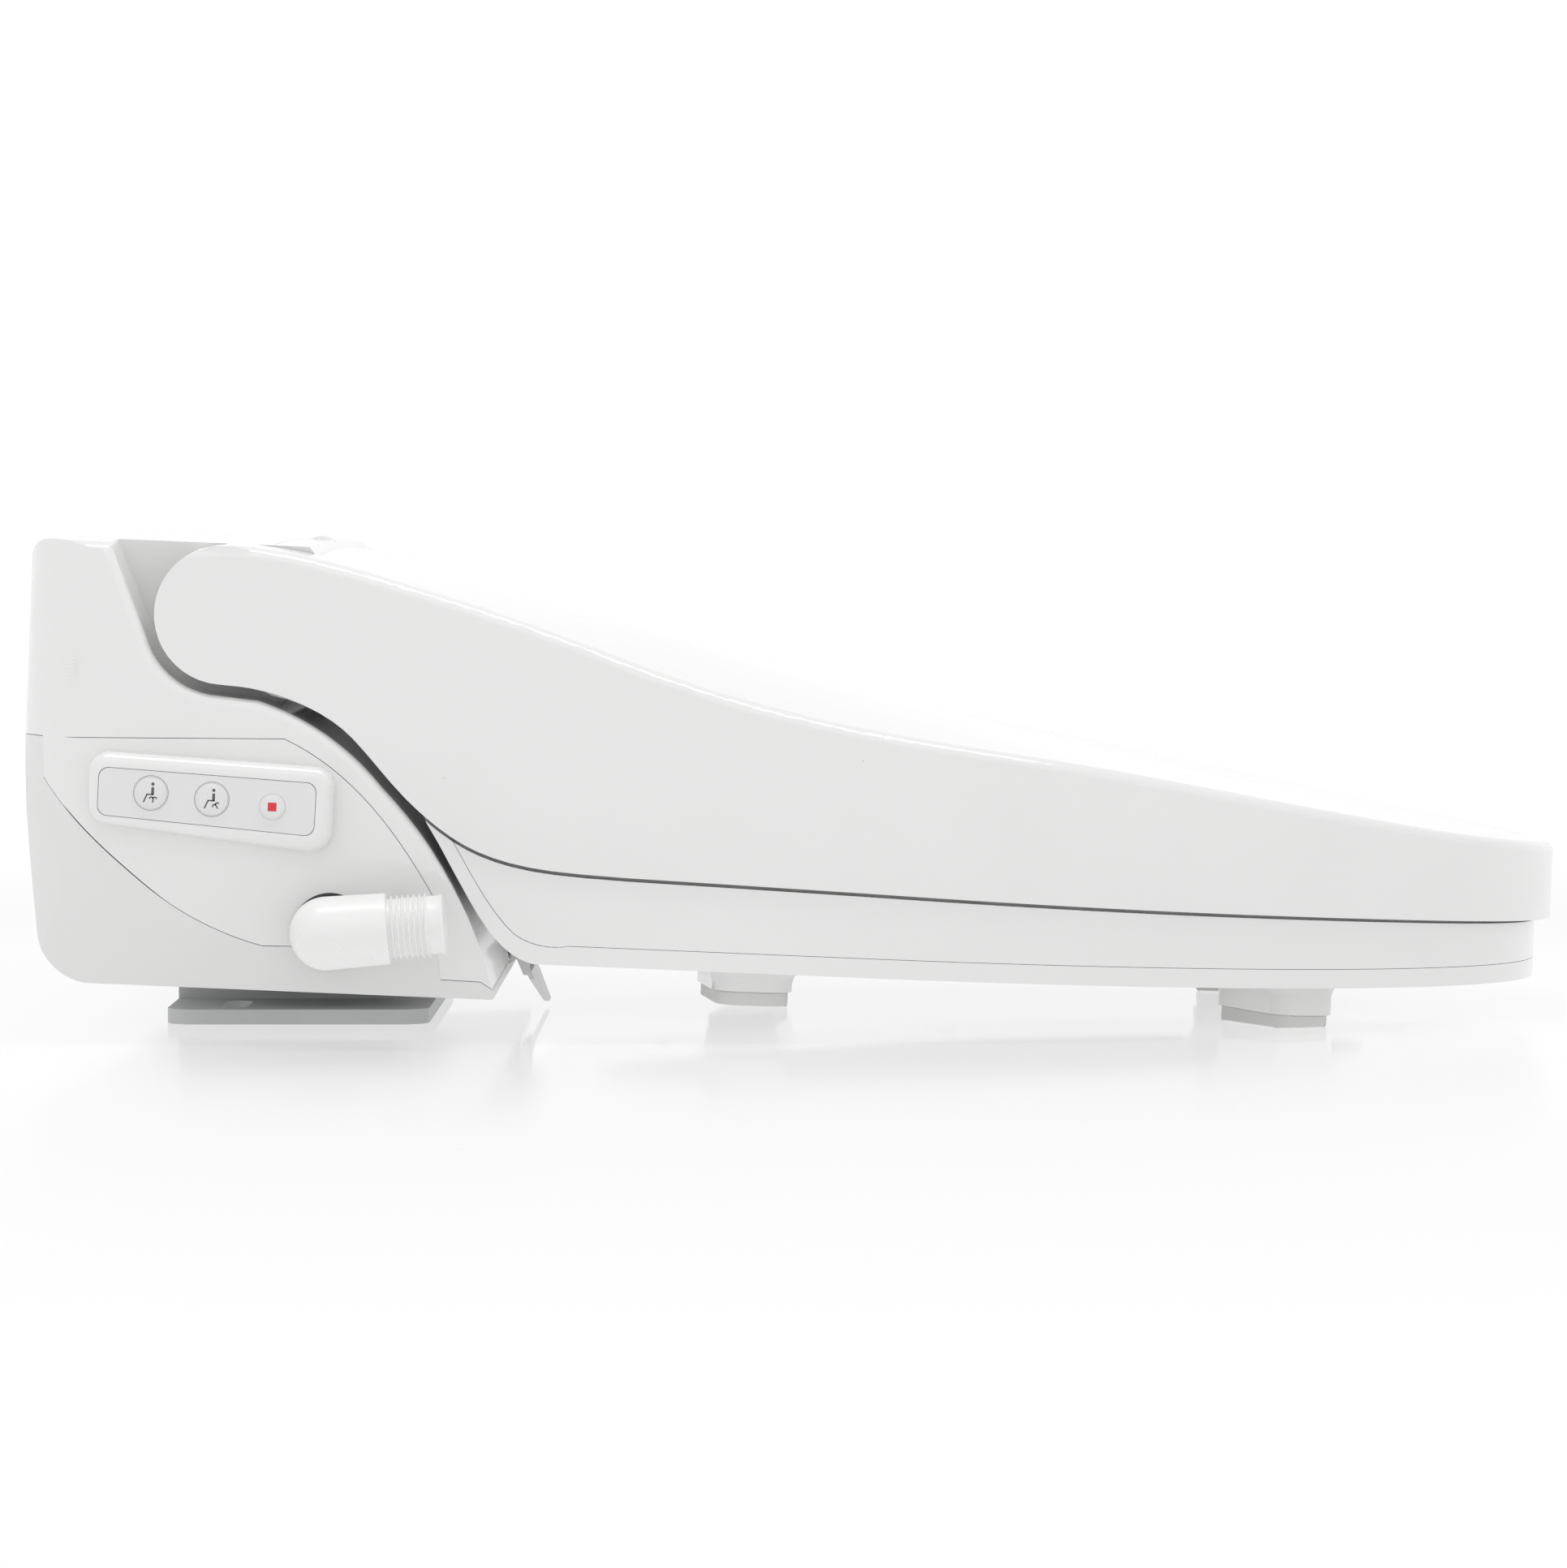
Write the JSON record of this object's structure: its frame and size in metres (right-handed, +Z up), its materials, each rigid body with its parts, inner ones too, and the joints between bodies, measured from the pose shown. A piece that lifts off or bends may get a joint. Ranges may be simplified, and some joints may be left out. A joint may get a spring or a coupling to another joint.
{
  "type": "electric bidet seat",
  "caption": "Electric bidet toilet seat: hinged soft-close lid and heated ring on a rear housing with wash nozzles, side buttons and a swivelling water inlet.",
  "frame": {"origin": "midway between the two bowl bolts, on the underside of the mounting plate", "axes": "+X towards the front of the bowl, +Y to the user's left, +Z up"},
  "size_m": [0.5135, 0.4123, 0.1646],
  "materials": {
    "shell_white": "glossy white moulding",
    "shell_satin": "satin white moulding",
    "seat_white": "glossy white moulding",
    "label_white": "satin printed label",
    "button_white": "glossy white button",
    "stop_white": "glossy white button with a red mark",
    "milky": "translucent milky moulding",
    "bumper_grey": "pale rubber",
    "rubber_black": "black rubber",
    "steel": "stainless steel",
    "lens": "frosted receiver lens",
    "board": "green circuit board",
    "inner_grey": "grey moulding",
    "inner_black": "black moulding",
    "brass": "brass",
    "foil": "heating foil",
    "carbon": "filter drawer with activated carbon",
    "gear": "acetal gear",
    "supply": "potted transformer in a painted case",
    "tank": "moulded water tank"
  },
  "bodies": {
    "housing": {"mounting_plate": "inner_grey", "base_shell": "shell_satin", "top_cover": "shell_white", "top_panel": "shell_white", "receiver_lens": "lens", "case_screws": "steel", "side_cover_right": "shell_white", "side_cover_left": "shell_white", "control_label": "label_white", "control_board": "board", "nozzle_motor_rear": "steel", "nozzle_motor_front": "steel", "nozzle_tray": "inner_grey", "fan_casing": "inner_black", "fan_motor": "steel", "dryer_duct": "inner_grey", "dryer_heater": "brass", "cartridge_sleeve": "inner_grey", "valve_block": "brass", "supply_hose": "milky", "water_tank": "tank", "tank_heater": "steel", "main_board": "board", "board_tray": "inner_grey", "power_supply": "supply", "cord_gland": "inner_black", "seat_damper": "inner_black", "lid_damper": "inner_black"},
    "seat": {"seat_upper_shell": "seat_white", "seat_lower_shell": "seat_white", "seat_heater": "foil", "seat_screws": "steel", "seat_bumpers_mid": "bumper_grey", "seat_bumpers_front": "bumper_grey", "hinge_pin_left": "steel"},
    "lid": {"lid_shell": "shell_white", "lid_buffers": "bumper_grey", "hinge_pin_right": "steel"},
    "button_rear_wash": {"button_rear_wash": "button_white"},
    "button_front_wash": {"button_front_wash": "button_white"},
    "button_stop": {"button_stop": "stop_white"},
    "inlet": {"inlet_elbow": "milky", "inlet_o_rings": "rubber_black", "inlet_filter": "steel"},
    "nozzle_rear": {"nozzle_rear": "milky"},
    "nozzle_front": {"nozzle_front": "milky"},
    "pinion_rear": {"pinion_rear": "gear"},
    "pinion_front": {"pinion_front": "gear"},
    "nozzle_guard": {"nozzle_guard": "shell_satin"},
    "dryer_flap": {"dryer_flap": "shell_satin"},
    "fan_impeller": {"fan_impeller": "inner_black"},
    "filter_cartridge": {"filter_cartridge": "carbon"},
    "release_slide": {"release_slide": "inner_grey"}
  },
  "joints": [
    {"name": "seat_hinge", "type": "hinge", "parent": "housing", "child": "seat", "pos_m": [0.00507, 0, 0.13859], "axis": [0, -1, 0], "range_deg": [0, 95]},
    {"name": "lid_hinge", "type": "hinge", "parent": "seat", "child": "lid", "pos_m": [0.00507, 0, 0.13859], "axis": [0, 1, 0], "range_deg": [-95, 0]},
    {"name": "button_rear_wash_press", "type": "slide", "parent": "housing", "child": "button_rear_wash", "axis": [0, 1, 0], "range_m": [0, 0.001], "stiffness_N_per_m": 500, "springref_m": -0.0004},
    {"name": "button_front_wash_press", "type": "slide", "parent": "housing", "child": "button_front_wash", "axis": [0, 1, 0], "range_m": [0, 0.001], "stiffness_N_per_m": 500, "springref_m": -0.0004},
    {"name": "button_stop_press", "type": "slide", "parent": "housing", "child": "button_stop", "axis": [0, 1, 0], "range_m": [0, 0.001], "stiffness_N_per_m": 500, "springref_m": -0.0004},
    {"name": "inlet_swivel", "type": "hinge", "parent": "housing", "child": "inlet", "pos_m": [0.03884, -0.203, 0.03699], "axis": [0, 1, 0], "range_deg": [-12, 50]},
    {"name": "nozzle_rear_slide", "type": "slide", "parent": "housing", "child": "nozzle_rear", "axis": [0.8151, 0, -0.5793], "range_m": [0, 0.085]},
    {"name": "nozzle_front_slide", "type": "slide", "parent": "housing", "child": "nozzle_front", "axis": [0.8151, 0, -0.5793], "range_m": [0, 0.085]},
    {"name": "pinion_rear_turn", "type": "hinge", "parent": "housing", "child": "pinion_rear", "pos_m": [0.05051, 0.014, 0.06758], "axis": [0, -1, 0], "range_deg": [0, 1065]},
    {"name": "pinion_front_turn", "type": "hinge", "parent": "housing", "child": "pinion_front", "pos_m": [0.05051, -0.014, 0.06758], "axis": [0, -1, 0], "range_deg": [0, 1065]},
    {"name": "guard_hinge", "type": "hinge", "parent": "housing", "child": "nozzle_guard", "pos_m": [0.09328, 0, 0.0224], "axis": [0, 1, 0], "range_deg": [-50, 0]},
    {"name": "dryer_flap_hinge", "type": "hinge", "parent": "housing", "child": "dryer_flap", "pos_m": [0.09169, 0.072, 0.02747], "axis": [0, 1, 0], "range_deg": [-40, 0]},
    {"name": "fan_spin", "type": "hinge", "parent": "housing", "child": "fan_impeller", "pos_m": [0.00376, 0.072, 0.05958], "axis": [0, 1, 0], "continuous": true},
    {"name": "cartridge_slide", "type": "slide", "parent": "housing", "child": "filter_cartridge", "axis": [0, 1, 0], "range_m": [0, 0.045]},
    {"name": "release_pull", "type": "slide", "parent": "housing", "child": "release_slide", "axis": [0, 1, 0], "range_m": [0, 0.005], "stiffness_N_per_m": 300, "springref_m": -0.001}
  ],
  "couplings": [
    {"joint": "pinion_rear_turn", "follows": "nozzle_rear_slide", "rad_per_m": 218.17},
    {"joint": "pinion_front_turn", "follows": "nozzle_front_slide", "rad_per_m": 218.17}
  ]
}
